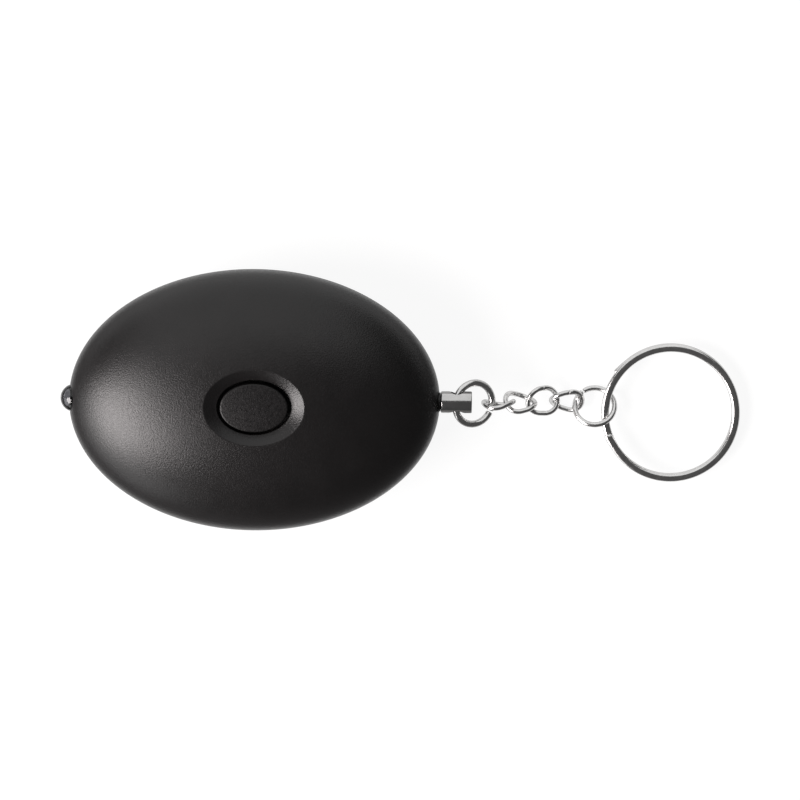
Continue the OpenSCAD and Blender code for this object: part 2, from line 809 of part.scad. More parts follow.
module pull_pin() color("#d4d6d9") {
  head_x1 = head_x0 + pin_head_l;
  difference() {
    translate([0, 0, seam_z])
      rotate([0, 90, 0])
        rotate_extrude($fn = 64)
          polygon([[0, shank_x0], [pin_nose_r, shank_x0], [shank_r, shank_x0 + pin_nose_l],
            [shank_r, head_x0], [head_r - head_edge, head_x0], [head_r, head_x0 + head_edge],
            [head_r, head_x1 - head_edge], [head_r - head_edge, head_x1], [0, head_x1]]);
    along_y(pin_hole_x, -head_r - over, head_r + over, seam_z, pin_hole_r);
  }
}

module jump_ring(r, wire, mouth) {
  open = 2 * asin(ring_open / 2 / r);
  rotate([0, 0, mouth + open / 2])
    rotate_extrude(angle = 360 - open, $fn = 96)
      translate([r, 0]) circle(d = wire, $fn = 32);
}

module placed(p, lie) {
  translate(p) rotate([lie[2], lie[0], lie[1]]) children();
}

module pin_ring() color("#bfc2c6") {
  placed(at_a, lie_a) translate([ring_a_r - ring_a_set, 0, 0]) jump_ring(ring_a_r, ring_a_wire, ring_a_mouth);
}

module chain_link_1() color("#c6c8cc") {
  placed(at_1, lie_1) translate([link_c / 2 - grip_a, 0, 0]) twisted_link();
}

module chain_link_2() color("#c6c8cc") {
  placed(at_2, lie_2) translate([link_c / 2 - grip_l, 0, 0]) twisted_link();
}

module chain_link_3() color("#c6c8cc") {
  placed(at_3, lie_3) translate([link_c / 2 - grip_l, 0, 0]) twisted_link();
}

module chain_link_4() color("#c6c8cc") {
  placed(at_4, lie_4) translate([link_c / 2 - grip_l, 0, 0]) twisted_link();
}

module end_ring() color("#bfc2c6") {
  placed(mid_b, lie_b) jump_ring(ring_b_r, ring_b_wire, ring_b_mouth);
}

module split_key_ring() color("#c9ccd0") {
  placed(mid_k, lie_k) split_coil();
}

front_shell();
rear_shell();
case_screws();
light_button();
switch_body();
switch_plunger();
lamp();
lamp_legs();
circuit_board();
board_screws();
driver_chip();
drive_transistor();
coil_core();
coil_winding();
chip_parts();
battery_cell_1();
battery_cell_2();
battery_cell_3();
battery_plate();
battery_leaf();
sounder_plate();
sounder_ceramic();
sounder_lead_a();
sounder_lead_b();
pin_socket();
fixed_contact();
contact_leaf();
pull_pin();
pin_ring();
chain_link_1();
chain_link_2();
chain_link_3();
chain_link_4();
end_ring();
split_key_ring();
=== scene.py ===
"""Personal safety alarm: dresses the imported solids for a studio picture.

Lengths are in millimetres and are turned into metres when a mesh is made. The frame is the CAD frame: back
face on z = 0, chain towards +X.
"""
import math

import bmesh
import bpy
import numpy as np
from mathutils import Matrix, Vector


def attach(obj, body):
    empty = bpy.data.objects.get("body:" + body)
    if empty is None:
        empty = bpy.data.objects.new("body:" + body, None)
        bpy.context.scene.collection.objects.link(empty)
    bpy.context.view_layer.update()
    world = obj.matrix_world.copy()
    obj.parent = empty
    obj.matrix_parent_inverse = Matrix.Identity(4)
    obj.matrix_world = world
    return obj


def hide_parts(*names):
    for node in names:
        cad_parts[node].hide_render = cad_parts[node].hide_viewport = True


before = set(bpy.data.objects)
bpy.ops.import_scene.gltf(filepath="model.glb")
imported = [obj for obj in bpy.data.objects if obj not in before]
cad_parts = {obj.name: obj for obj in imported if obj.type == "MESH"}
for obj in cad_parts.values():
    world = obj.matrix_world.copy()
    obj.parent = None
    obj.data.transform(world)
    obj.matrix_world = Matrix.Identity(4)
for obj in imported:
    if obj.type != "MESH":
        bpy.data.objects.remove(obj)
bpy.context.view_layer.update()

MM = 0.001

# Case
HALF_L, HALF_W, DOME_H = 33.1, 23.45, 12.5
SEAM_Z = 11.5
CROWN_Z = SEAM_Z + DOME_H
WALL = 1.8
OUTER = (HALF_L, HALF_W, DOME_H)
MIDDLE = tuple(size - WALL / 2 for size in OUTER)
INNER = tuple(size - WALL for size in OUTER)
IN_L, IN_W, IN_H = INNER
TONGUE_H, TONGUE_PLAY = 1.2, 0.1
TONGUE_A, TONGUE_B = MIDDLE[0] - TONGUE_PLAY, MIDDLE[1] - TONGUE_PLAY
REBATE_H = TONGUE_H + TONGUE_PLAY
SEAM_GROOVE, GROOVE_RISE = 0.25, 0.35
BOSS_X, BOSS_Y = 0.585 * HALF_L, 12.8
FRONT_BOSS_R, REAR_BOSS_R, BOSS_PLAY = 2.3, 3.0, 0.05

# Button and dish
CAP_A, CAP_B = 6.05, 4.325
BUTTON_GAP = 0.57
HOLE_A, HOLE_B = CAP_A + BUTTON_GAP, CAP_B + BUTTON_GAP
DISH_A, DISH_B = 8.99, 6.8
DISH_W, DISH_LEDGE, DISH_DEEP = 2.3, 0.15, 1.5
DISH_Z = CROWN_Z - DISH_DEEP
GUIDE_T, GUIDE_DEEP = 1.1, 4.4
GUIDE_Z = CROWN_Z - GUIDE_DEEP
PAD_A, PAD_B = HOLE_A + DISH_W + GUIDE_T, HOLE_B + DISH_W + GUIDE_T
BUTTON_TOP, BUTTON_CROWN = 23.75, 0.3
FLANGE_LAP, FLANGE_T, FLANGE_PLAY = 0.75, 0.8, 0.05
FLANGE_A, FLANGE_B = HOLE_A + FLANGE_LAP, HOLE_B + FLANGE_LAP
FLANGE_TOP = GUIDE_Z - FLANGE_PLAY
FLANGE_Z = FLANGE_TOP - FLANGE_T
STEM_R, STEM_Z = 1.6, 18.35

# Lamp
LAMP_R, LAMP_FLANGE_R, LAMP_PLAY = 2.5, 2.9, 0.1
LAMP_DOME_X = -32.1
LAMP_FLANGE_X, LAMP_BACK_X = LAMP_DOME_X + 5.1, LAMP_DOME_X + 6.1

# Pull pin and its collar in the case
SHANK_R, HEAD_R = 1.25, 1.95
SHANK_X0, HEAD_X0, HEAD_X1 = 20.6, 33.3, 38.8
PIN_HOLE_X, PIN_HOLE_PLAY = 36.15, 0.12
PIN_BORE_R, PIN_BORE_DEEP = SHANK_R + 0.07, 5.0
COLLAR_R, COLLAR_X0, COLLAR_X1 = 1.7, 32.4, 33.25

# Chain
RING_A_R, RING_A_WIRE, RING_A_YAW = 3.75, 1.25, 8.0
RING_A_SAG = RING_A_R - math.sqrt(RING_A_R ** 2 - HEAD_R ** 2)
RING_A_SET = RING_A_SAG / 2
RING_A_SWEEP = HEAD_R * math.sin(math.radians(RING_A_YAW))
PIN_HOLE_R = RING_A_WIRE / 2 + RING_A_SET + RING_A_SWEEP + PIN_HOLE_PLAY
LINK_WIRE, LINK_C, LINK_R = 0.9, 5.5, 2.325
LINK_SIDE = LINK_C - 2 * LINK_R
LINK_LENGTH = 2 * math.pi * LINK_R + 2 * LINK_SIDE
LINK_TWIST = 38.0
RING_B_R, RING_B_WIRE = 3.55, 0.95
CHAIN_PLAY = 0.16
GRIP_A = (RING_A_WIRE + LINK_WIRE) / 2 + CHAIN_PLAY
GRIP_L = LINK_WIRE + CHAIN_PLAY
GRIP_B = (RING_B_WIRE + LINK_WIRE) / 2 + CHAIN_PLAY
RING_OPEN = 0.3
RING_A_MOUTH, RING_B_MOUTH, RING_B_OUT = -18.0, 148.0, 27.0

# Split ring, with angles in degrees
KEY_D, KEY_WIRE_W, KEY_WIRE_T, KEY_GAP = 24.8, 1.4, 0.9, 0.45
KEY_R = (KEY_D - KEY_WIRE_W) / 2
KEY_IN = KEY_D / 2 - KEY_WIRE_W
KEY_PLAY, KEY_DROP = 0.88, 0.2
KEY_CLOSE = 0.08
KEY_CROSS0, KEY_CROSS1 = 152.0, 207.0
KEY_SPRUNG, KEY_SPRUNG_TURN = 0.26, 16.0
KEY_TAPER, KEY_TAPER_TURN = 0.25, 1.6

# How each piece of the chain lies, in degrees: pitch down, yaw, roll
LIE_A = (30, -RING_A_YAW, 0)
LIE_1 = (34, 2, -90.5)
LIE_2 = (25.5, 1, -56.5)
LIE_3 = (16.5, 2, 8.5)
LIE_4 = (7.5, -4.5, 44)
LIE_B = (-11.5, -18.5, -27)
LIE_K = (3.5, -7.5, -0.5)

# Screws and sound holes
SCREW_R, SCREW_HEAD_R, SCREW_HEAD_H = 1.1, 1.9, 1.5
SCREW_PLAY, THREAD_FIT, PILOT_DEEP = 0.1, 0.02, 0.6
SCREW_SEAT_Z, SCREW_TIP_Z = SEAM_Z - 5.3, SEAM_Z + 3
SOUND_HOLE_R, SOUND_PITCH = 0.75, 3.1

# Mesh fineness, how far a cutter passes the surface, and where a lathe form stops short of its axis
OVAL_SIDES, LATHE_SIDES, POST_SIDES, WIRE_SIDES = 288, 96, 48, 28
FRONT_RINGS, REAR_RINGS, INNER_RINGS = 80, 70, 36
JUMP_RINGS, LINK_RINGS, KEY_RINGS = 160, 168, 520
WELD = 0.001
OVER = 2.0
NEAR_AXIS = 0.02

# Floor, light and camera, with the half width of the floor and the camera's distance in metres
TARGET = Vector((25.97, 0.266, SEAM_Z)) * MM
FLOOR_HALF, FLOOR_GAP = 3.0, 0.02
FLOOR_COLOUR, FLOOR_GLOW = 0.14, 0.9
# Painted shade in reflections: past FADE_IN to FADE_OUT millimetres, the floor's glow seen in reflections
# drops to FAR_SHARE, except on the floor from BACK_IN to BACK_OUT millimetres behind the target
FADE_IN, FADE_OUT, FAR_SHARE = 16.0, 27.0, 0.04
BACK_IN, BACK_OUT = 24.0, 48.0
AROUND = 0.085
SOFTBOX_TINT = (1.0, 0.95, 0.945)
CAMERA_TILT, CAMERA_ROLL = math.radians(7.2), math.radians(0.66)
CAMERA_DISTANCE = 3.0
VIEW_WIDTH = 142.71 * MM
SENSOR = 36.0


# Meshes

def piece_from(name, verts, faces, sharp=32.0):
    """A mesh object from millimetre points, with outward faces and sharp edges by angle."""
    mesh = bpy.data.meshes.new(name)
    mesh.from_pydata((np.asarray(verts, float) * MM).tolist(), [], faces)
    work = bmesh.new()
    work.from_mesh(mesh)
    bmesh.ops.recalc_face_normals(work, faces=work.faces)
    work.to_mesh(mesh)
    work.free()
    piece = bpy.data.objects.new(name, mesh)
    bpy.context.scene.collection.objects.link(piece)
    smooth(piece, sharp)
    return piece


def smooth(piece, sharp):
    """Smooth shading, with edges over that angle in degrees kept sharp."""
    piece.data.shade_smooth()
    piece.data.set_sharp_from_angle(angle=math.radians(sharp))


def loft(rings, closed=False):
    """Points and faces of a skin through rings of points, closed on itself or with flat ends."""
    count, sides = len(rings), len(rings[0])
    faces = []
    for i in range(count if closed else count - 1):
        a, b = i * sides, (i + 1) % count * sides
        for k in range(sides):
            m = (k + 1) % sides
            faces.append((a + k, a + m, b + m, b + k))
    if not closed:
        faces.append(tuple(range(sides)))
        faces.append(tuple(range((count - 1) * sides, count * sides)))
    return np.concatenate(rings), faces


def merged(parts):
    """Several point and face lists as one."""
    verts, faces, start = [], [], 0
    for part_verts, part_faces in parts:
        verts.append(part_verts)
        faces += [tuple(i + start for i in face) for face in part_faces]
        start += len(part_verts)
    return np.concatenate(verts), faces


def combine(piece, tools, operation, sharp=32.0):
    """Cuts or joins the tool parts, given as point and face lists, into the piece."""
    tool = piece_from("tool", *merged(tools))
    modifier = piece.modifiers.new("tool", "BOOLEAN")
    modifier.operation = operation
    modifier.solver = "EXACT"
    modifier.object = tool
    graph = bpy.context.evaluated_depsgraph_get()
    result = bpy.data.meshes.new_from_object(piece.evaluated_get(graph))
    work = bmesh.new()
    work.from_mesh(result)
    bmesh.ops.remove_doubles(work, verts=work.verts, dist=WELD * MM)
    bmesh.ops.dissolve_degenerate(work, edges=work.edges, dist=WELD * MM)
    work.to_mesh(result)
    work.free()
    piece.modifiers.clear()
    old = piece.data
    result.name = piece.name
    piece.data = result
    bpy.data.meshes.remove(old)
    bpy.data.objects.remove(tool)
    smooth(piece, sharp)


def turned(profile, axis="z", at=(0, 0, 0), sides=LATHE_SIDES, closed=False):
    """Points and faces of a lathe form. The profile is (radius, height) points from one end to the other.

    The points start off the axes, so that a cutter's points never meet those of an oval.
    """
    off_axis = 0.29
    turn = (np.arange(sides) + off_axis) * 2 * math.pi / sides
    order = {"x": [2, 0, 1], "y": [1, 2, 0], "z": [0, 1, 2]}[axis]
    rings = []
    for radius, height in profile:
        flat = np.stack([radius * np.cos(turn), radius * np.sin(turn), np.full(sides, height)], 1)
        rings.append(flat[:, order] + np.array(at))
    return loft(rings, closed)


def rounded(points, radius, steps=4):
    """A profile with its inner corners rounded."""
    most = 0.45
    points = [np.array(p, float) for p in points]
    result = [points[0]]
    for before, corner, after in zip(points, points[1:], points[2:]):
        to, on = before - corner, after - corner
        reach = min(radius, np.linalg.norm(to) * most, np.linalg.norm(on) * most)
        result += corner_curve(corner + unit(to) * reach, corner, corner + unit(on) * reach, steps)
    return result + [points[-1]]


def corner_curve(start, corner, end, steps):
    """Points, or rings of points, of a curve from start to end that leans to the corner."""
    return [(1 - t) ** 2 * start + 2 * t * (1 - t) * corner + t * t * end
            for t in np.linspace(0, 1, steps + 1)]


def soft_edge(start, corner, end, steps=6):
    """Rings of a rounded edge, without its first and last ring."""
    return corner_curve(start, corner, end, steps)[1:-1]


def between(start, end, share):
    return start + (end - start) * share


def eased(t):
    """A share from 0 to 1 that starts and stops gently."""
    return t * t * (3 - 2 * t)


def unit(v):
    return v / np.linalg.norm(v)


# Egg surfaces

def oval(a, b, z):
    turn = np.linspace(0, 2 * math.pi, OVAL_SIDES, endpoint=False)
    return np.stack([a * np.cos(turn), b * np.sin(turn), np.full(OVAL_SIDES, z)], 1)


def dome_rise(x, y, egg):
    """The height of the egg over its seam."""
    half_l, half_w, height = egg
    return height * np.sqrt(np.maximum(0, 1 - (x / half_l) ** 2 - (y / half_w) ** 2))


def on_dome(a, b, egg=OUTER, side=1):
    """The oval as it lies on the upper half of the egg, or on the lower half with side -1."""
    ring = oval(a, b, SEAM_Z)
    ring[:, 2] += side * dome_rise(ring[:, 0], ring[:, 1], egg)
    return ring


def dome_rings(egg, low, high, top, count, side=1):
    """Rings from the angle low to the angle high, where the ring is the oval top."""
    rings = []
    for t in np.linspace(0, 1, count):
        lift = low + (high - low) * t
        ease = eased(t)
        a, b = (half * math.cos(lift) * (1 - ease) + end * math.cos(lift) / math.cos(high) * ease
                for half, end in zip(egg, top))
        rings.append(on_dome(a, b, egg, side))
    return rings


def outside_rings(top, count, side=1):
    """Rings of the case's outside from the groove at the seam to the oval top."""
    low = math.asin(GROOVE_RISE / DOME_H)
    return dome_rings(OUTER, low, math.acos(top[0] / HALF_L), top, count, side)


def groove_floor():
    """The ring at the bottom of the groove along the seam."""
    inset = 1 - SEAM_GROOVE / HALF_W
    return oval(HALF_L * inset, HALF_W * inset, SEAM_Z)


def circle(x, y, z, radius):
    turn = np.linspace(0, 2 * math.pi, POST_SIDES, endpoint=False)
    return np.stack([x + radius * np.cos(turn), y + radius * np.sin(turn), np.full(POST_SIDES, z)], 1)


def boss(x, y, z, radius, side):
    """A round post from z to the middle of the upper half's wall, or of the lower half's with side -1."""
    ring = circle(x, y, z, radius)
    top = ring.copy()
    top[:, 2] = SEAM_Z + side * dome_rise(top[:, 0], top[:, 1], MIDDLE)
    return loft([ring, top])


def corners():
    """The places of the four case screws."""
    return [(x, y) for x in (-BOSS_X, BOSS_X) for y in (-BOSS_Y, BOSS_Y)]


def shell_openings():
    """Cutters for the lamp and for the pin, on the seam."""
    lamp_r = LAMP_R + LAMP_PLAY
    lamp = [(lamp_r, -HALF_L - OVER), (lamp_r, LAMP_FLANGE_X)]
    pin = [(PIN_BORE_R, HALF_L - PIN_BORE_DEEP), (PIN_BORE_R, HALF_L + OVER)]
    return [turned(profile, "x", (0, 0, SEAM_Z)) for profile in (lamp, pin)]


def pilot_holes():
    """Cutters for the case screws' holes in the front half."""
    radius = SCREW_R + THREAD_FIT
    return [loft([circle(x, y, z, radius) for z in (SEAM_Z - OVER, SCREW_TIP_Z + PILOT_DEEP)])
            for x, y in corners()]


def screw_wells():
    """Cutters for the case screws' wells in the rear half."""
    head_r, shank_r = SCREW_HEAD_R + SCREW_PLAY, SCREW_R + SCREW_PLAY
    profile = [(head_r, -OVER), (head_r, SCREW_SEAT_Z), (shank_r, SCREW_SEAT_Z), (shank_r, SEAM_Z + OVER)]
    return [turned(profile, "z", (x, y, 0), sides=64) for x, y in corners()]


def sound_holes():
    """Cutters for two rings of holes with chamfered mouths."""
    chamfer = 0.12
    mouth_r = SOUND_HOLE_R + chamfer
    profile = [(mouth_r, -OVER), (mouth_r, 0), (SOUND_HOLE_R, chamfer), (SOUND_HOLE_R, WALL + OVER)]
    holes = []
    for ring, count, shift in ((1, 6, 0), (2, 12, 15)):
        for k in range(count):
            a = math.radians(k * 360 / count + shift)
            at = (ring * SOUND_PITCH * math.cos(a), ring * SOUND_PITCH * math.sin(a), 0)
            holes.append(turned(profile, "z", at, sides=32))
    return holes


# Case, button, lamp and pin

def front_case():
    """The upper half with the dish, the button hole in its guide, and the rebate for the tongue."""
    rim_soft, foot_soft, hole_soft, hole_corner = 0.12, 0.05, 0.12, 0.03
    guide_mid = 1.2
    outside = outside_rings((DISH_A + rim_soft, DISH_B + rim_soft), FRONT_RINGS)
    rim = on_dome(DISH_A, DISH_B)
    foot = oval(HOLE_A + DISH_LEDGE, HOLE_B + DISH_LEDGE, DISH_Z)
    slope_top = between(rim, foot, rim_soft / DISH_W)
    slope_foot = between(rim, foot, 1 - foot_soft / DISH_W)
    wall_top = oval(HOLE_A, HOLE_B, DISH_Z - hole_soft)
    pad_z = DISH_Z - WALL
    low, high = math.asin(REBATE_H / IN_H), math.acos(PAD_A / IN_L)
    inside = dome_rings(INNER, low, high, (PAD_A, PAD_B), INNER_RINGS)
    rings = [groove_floor()]
    rings += soft_edge(rings[0], oval(HALF_L, HALF_W, SEAM_Z), outside[0])
    rings += outside
    rings += soft_edge(outside[-1], rim, slope_top)
    rings += [between(slope_top, slope_foot, t) for t in np.linspace(0, 1, 7)]
    rings += soft_edge(slope_foot, oval(HOLE_A, HOLE_B, DISH_Z - hole_corner), wall_top, 5)
    rings += [wall_top]
    rings += [oval(HOLE_A, HOLE_B, z) for z in (GUIDE_Z + guide_mid, GUIDE_Z)]
    rings += [oval(HOLE_A + GUIDE_T, HOLE_B + GUIDE_T, z) for z in (GUIDE_Z, pad_z)]
    rings += [oval(PAD_A, PAD_B, pad_z)]
    rings += inside[::-1]
    rings += [oval(MIDDLE[0], MIDDLE[1], SEAM_Z + z) for z in (REBATE_H, 0)]
    piece = piece_from("front_case", *loft(rings, closed=True))
    combine(piece, [boss(x, y, SEAM_Z, FRONT_BOSS_R, 1) for x, y in corners()], "UNION")
    combine(piece, pilot_holes() + shell_openings(), "DIFFERENCE")
    return piece


def rear_case():
    """The lower half with its flat back, tongue, screw wells and sound holes."""
    edge = 0.3
    flat = math.sqrt(1 - (SEAM_Z / DOME_H) ** 2)
    flat_a, flat_b = HALF_L * flat, HALF_W * flat
    outside = outside_rings((flat_a + edge, flat_b + edge), REAR_RINGS, -1)
    floor = math.sqrt(1 - ((SEAM_Z - WALL) / IN_H) ** 2)
    inside = dome_rings(INNER, 0, math.acos(floor), (IN_L * floor, IN_W * floor), INNER_RINGS, -1)
    tongue_z = SEAM_Z + TONGUE_H
    rings = [oval(flat_a - 2 * edge, flat_b - 2 * edge, 0)]
    rings += soft_edge(rings[0], oval(flat_a, flat_b, 0), outside[-1])
    rings += outside[::-1]
    rings += soft_edge(outside[0], oval(HALF_L, HALF_W, SEAM_Z), groove_floor())
    rings += [groove_floor()]
    rings += [oval(TONGUE_A, TONGUE_B, z) for z in (SEAM_Z, tongue_z)]
    rings += [oval(IN_L, IN_W, tongue_z)]
    rings += inside
    piece = piece_from("rear_case", *loft(rings))
    combine(piece, [boss(x, y, SEAM_Z - BOSS_PLAY, REAR_BOSS_R, -1) for x, y in corners()], "UNION")
    combine(piece, screw_wells() + sound_holes() + shell_openings(), "DIFFERENCE")
    return piece


def button_cap():
    """The oval cap with its flange below the guide and its stem on the switch."""
    edge, side_mid = 0.22, 2.0
    rim_z = BUTTON_TOP - BUTTON_CROWN
    edge_share = 1 - edge / CAP_B

    def face(share):
        return oval(CAP_A * share, CAP_B * share, rim_z + BUTTON_CROWN * (1 - share * share))

    rings = [oval(STEM_R, STEM_R, z) for z in (STEM_Z, FLANGE_Z)]
    rings += [oval(FLANGE_A, FLANGE_B, z) for z in (FLANGE_Z, FLANGE_TOP)]
    rings += [oval(CAP_A, CAP_B, z) for z in (FLANGE_TOP, rim_z - side_mid, rim_z - edge)]
    rings += soft_edge(rings[-1], oval(CAP_A, CAP_B, rim_z), face(edge_share), 8)
    rings += [face(share) for share in np.linspace(edge_share, NEAR_AXIS, 40)]
    return piece_from("button_cap", *loft(rings))


def lamp_lens():
    """The lamp's domed body with its flange."""
    edge = 0.15
    arc = np.linspace(NEAR_AXIS, math.pi / 2, 40)
    dome = [(LAMP_R * math.sin(a), LAMP_DOME_X - LAMP_R * math.cos(a)) for a in arc]
    back = [(LAMP_R, LAMP_FLANGE_X), (LAMP_FLANGE_R, LAMP_FLANGE_X), (LAMP_FLANGE_R, LAMP_BACK_X),
            (NEAR_AXIS, LAMP_BACK_X)]
    profile = dome + rounded(dome[-1:] + back, edge)[1:]
    return piece_from("lamp_lens", *turned(profile, "x", (0, 0, SEAM_Z)))


def lamp_frame():
    """The two lead posts and the light cup inside the dark-tinted lamp."""
    edge, past_back = 0.05, 0.01
    cup_y, blade_y = 0.75, -1.27
    cup_r, lip, floor_r, post_r, blade_r = 0.85, 0.1, 0.35, 0.3, 0.28
    rim, tip, floor, foot, neck = (LAMP_DOME_X + d for d in (1.5, 1.7, 2.0, 2.7, 3.0))
    end = LAMP_BACK_X + past_back
    cup = [(NEAR_AXIS, floor), (floor_r, floor), (cup_r - lip, rim), (cup_r, rim), (cup_r, foot),
           (post_r, neck), (post_r, end), (NEAR_AXIS, end)]
    blade = [(NEAR_AXIS, tip), (blade_r, tip), (blade_r, end), (NEAR_AXIS, end)]
    parts = [turned(rounded(cup, edge), "x", (0, cup_y, SEAM_Z), sides=40),
             turned(rounded(blade, edge), "x", (0, blade_y, SEAM_Z), sides=24)]
    return piece_from("lamp_frame", *merged(parts))


def turned_pin():
    """The pin with its nose, its head and the countersunk cross hole."""
    nose, edge, sink = 0.9, 0.22, 0.2
    profile = rounded([(NEAR_AXIS, SHANK_X0), (SHANK_R / 2, SHANK_X0), (SHANK_R, SHANK_X0 + nose),
                       (SHANK_R, HEAD_X0), (HEAD_R, HEAD_X0), (HEAD_R, HEAD_X1), (NEAR_AXIS, HEAD_X1)], edge)
    piece = piece_from("turned_pin", *turned(profile, "x", (0, 0, SEAM_Z), sides=128))
    mouth_r = PIN_HOLE_R + sink + OVER
    hole = [(mouth_r, -HEAD_R - OVER), (PIN_HOLE_R, sink - HEAD_R), (PIN_HOLE_R, HEAD_R - sink),
            (mouth_r, HEAD_R + OVER)]
    combine(piece, [turned(hole, "y", (PIN_HOLE_X, 0, SEAM_Z))], "DIFFERENCE", sharp=40)
    return piece


def pin_collar():
    """The lip of the pin's hole, which the head rests against."""
    flare, edge = 0.3, 0.06
    profile = [(PIN_BORE_R, COLLAR_X0), (COLLAR_R, COLLAR_X0), (COLLAR_R, COLLAR_X1 - edge),
               (COLLAR_R - edge, COLLAR_X1), (PIN_BORE_R + flare, COLLAR_X1), (PIN_BORE_R, COLLAR_X1 - flare)]
    return piece_from("pin_collar", *turned(profile, "x", (0, 0, SEAM_Z), closed=True))


def cross_recess(x, y, z, turn):
    """Cutter for one arm of a screw's tapered cross recess, from the head's face at z."""
    arm, width, deep, above = SCREW_HEAD_R * 0.62, 0.2, 0.85, 0.5
    mouth, floor = 1.15, 0.45
    along = np.array([math.cos(turn), math.sin(turn), 0])
    across = np.array([-math.sin(turn), math.cos(turn), 0])
    rings = []
    for height, share in ((z - above, mouth), (z + deep, floor)):
        middle = np.array([x, y, height])
        rings.append(np.array([middle + share * (s * arm * along + t * width * across)
                               for s, t in ((1, 1), (-1, 1), (-1, -1), (1, -1))]))
    return loft(rings)


def cross_screws():
    """Screws with a domed head, a thread and a cross recess, seen in the wells of the rear case."""
    crown_h, core_r, tip_r = 0.55, SCREW_R * 0.8, SCREW_R * 0.25
    pitch, turns, lead_in = 0.8, 9, 0.2
    crest0, crest1 = 0.45, 0.55
    first_turn, next_turn = 0.4, 0.9
    low, thread_z = SCREW_SEAT_Z - SCREW_HEAD_H, SCREW_SEAT_Z + lead_in
    profile = [(SCREW_HEAD_R * math.sin(a), low + crown_h * (1 - math.cos(a)))
               for a in np.linspace(NEAR_AXIS, math.pi / 2, 14)]
    profile += [(SCREW_HEAD_R, SCREW_SEAT_Z), (core_r, SCREW_SEAT_Z)]
    for k in range(turns):
        z = thread_z + k * pitch
        profile += [(core_r, z), (SCREW_R, z + pitch * crest0), (SCREW_R, z + pitch * crest1)]
    profile += [(core_r, thread_z + turns * pitch), (tip_r, SCREW_TIP_Z)]
    screws = [turned(profile, "z", (x, y, 0), sides=56) for x, y in corners()]
    piece = piece_from("cross_screws", *merged(screws))
    for quarter in (0, math.pi / 2):
        cuts = [cross_recess(x, y, low, first_turn + next_turn * n + quarter)
                for n, (x, y) in enumerate(corners())]
        combine(piece, cuts, "DIFFERENCE", sharp=40)
    return piece


# Chain

def spin(lie):
    """The rotation that lays a piece of the chain."""
    pitch, yaw, roll = (math.radians(a) for a in lie)
    turn = Matrix.Rotation(yaw, 3, "Z") @ Matrix.Rotation(pitch, 3, "Y") @ Matrix.Rotation(roll, 3, "X")
    return np.array(turn)


def step(point, lie, along):
    """The point that lies that far along a piece of the chain."""
    return point + spin(lie) @ np.array(along, float)


def place(points, at, lie):
    return points @ spin(lie).T + at


AT_A = np.array([PIN_HOLE_X, 0, SEAM_Z])
AT_1 = step(AT_A, LIE_A, (2 * RING_A_R - RING_A_SET, 0, 0))
AT_2 = step(AT_1, LIE_1, (LINK_C - GRIP_A, 0, 0))
AT_3 = step(AT_2, LIE_2, (LINK_C - GRIP_L, 0, 0))
AT_4 = step(AT_3, LIE_3, (LINK_C - GRIP_L, 0, 0))
AT_B = step(AT_4, LIE_4, (LINK_C - GRIP_L, 0, 0))
MID_B = step(AT_B, LIE_B, (RING_B_R - GRIP_B, 0, 0))
OUT_B = math.radians(RING_B_OUT)
AT_K = step(MID_B, LIE_B, (RING_B_R * math.cos(OUT_B), RING_B_R * math.sin(OUT_B), 0))
MID_K = step(AT_K, LIE_K, (KEY_IN - KEY_PLAY, 0, -KEY_DROP))
LINKS = ((AT_1, LIE_1, GRIP_A), (AT_2, LIE_2, GRIP_L), (AT_3, LIE_3, GRIP_L), (AT_4, LIE_4, GRIP_L))


def wire_ring(centre, along, up, radius):
    """One round cross-section, square to the wire's direction."""
    side = unit(np.cross(up, along))
    rise = np.cross(along, side)
    turn = np.linspace(0, 2 * math.pi, WIRE_SIDES, endpoint=False)
    return np.array([centre + radius * math.cos(a) * side + radius * math.sin(a) * rise for a in turn])


def jump_ring(name, radius, wire, mouth, at, lie, middle):
    """An open ring of round wire with nipped ends, with its middle that far along from its place."""
    nip, neck, tip = 0.12 / radius, 0.97, 0.82
    gap = math.asin(RING_OPEN / 2 / radius)
    start, end = math.radians(mouth) + gap, math.radians(mouth) + 2 * math.pi - gap
    angles = [start, start + nip, *np.linspace(start + 3 * nip, end - 3 * nip, JUMP_RINGS), end - nip, end]
    shares = [tip, neck] + [1.0] * JUMP_RINGS + [neck, tip]
    up = np.array([0, 0, 1.0])
    rings = []
    for a, share in zip(angles, shares):
        centre = np.array([radius * math.cos(a) + middle, radius * math.sin(a), 0])
        along = np.array([-math.sin(a), math.cos(a), 0])
        rings.append(wire_ring(centre, along, up, wire / 2 * share))
    verts, faces = loft(rings)
    return piece_from(name, place(verts, at, lie), faces, sharp=50)


def link_point(t):
    """A point of the flat oval at the length t along it."""
    quarter, r, s = math.pi * LINK_R / 2, LINK_R, LINK_SIDE
    if t < quarter:
        return s / 2 + r * math.cos(t / r), r * math.sin(t / r)
    if t < quarter + s:
        return s / 2 - (t - quarter), r
    if t < 3 * quarter + s:
        a = math.pi / 2 + (t - quarter - s) / r
        return -s / 2 + r * math.cos(a), r * math.sin(a)
    if t < 3 * quarter + 2 * s:
        return -s / 2 + (t - 3 * quarter - s), -r
    a = 1.5 * math.pi + (t - 3 * quarter - 2 * s) / r
    return s / 2 + r * math.cos(a), r * math.sin(a)


def twisted(t):
    """The wire's middle and its upward direction at the length t along the twisted link."""
    x, y = link_point(t % LINK_LENGTH)
    twist = math.radians(-LINK_TWIST * x / LINK_C)
    up = np.array([0, -math.sin(twist), math.cos(twist)])
    return np.array([x, y * math.cos(twist), y * math.sin(twist)]), up


